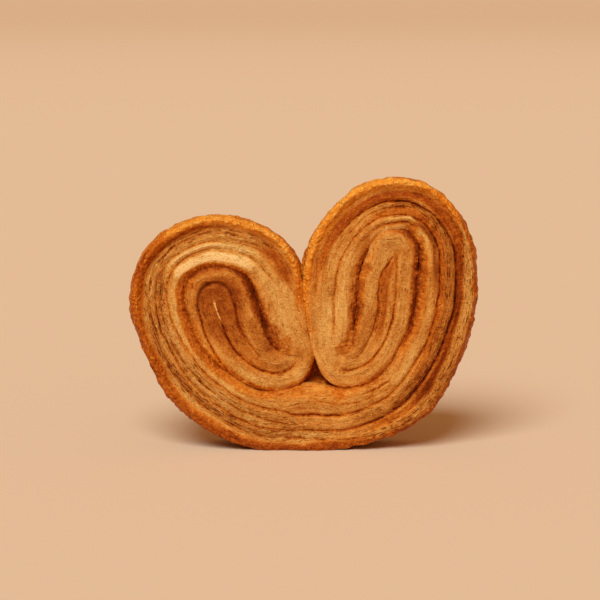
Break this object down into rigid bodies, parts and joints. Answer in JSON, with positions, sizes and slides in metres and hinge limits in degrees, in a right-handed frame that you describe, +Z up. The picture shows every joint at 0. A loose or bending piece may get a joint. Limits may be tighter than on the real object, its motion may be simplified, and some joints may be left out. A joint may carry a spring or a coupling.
{
  "type": "palmier pastry",
  "caption": "Heart-shaped slice of rolled puff pastry, its sheet coiled in from either end, with spiral layers on the cut faces and a browned crust; stands on a flat spot.",
  "frame": {"origin": "on the surface it stands on, under the middle of the slice's bounding box", "axes": "+X to the right across both lobes seen from the front, -Y out of the front cut face, +Z up through the cleft between the lobes"},
  "size_m": [0.0958, 0.0172, 0.0754],
  "materials": {
    "baked_pastry": "golden-brown flaky puff pastry with a bumpy caramelised crust, half matte"
  },
  "bodies": {
    "root": {"palmier": "baked_pastry"}
  },
  "joints": []
}
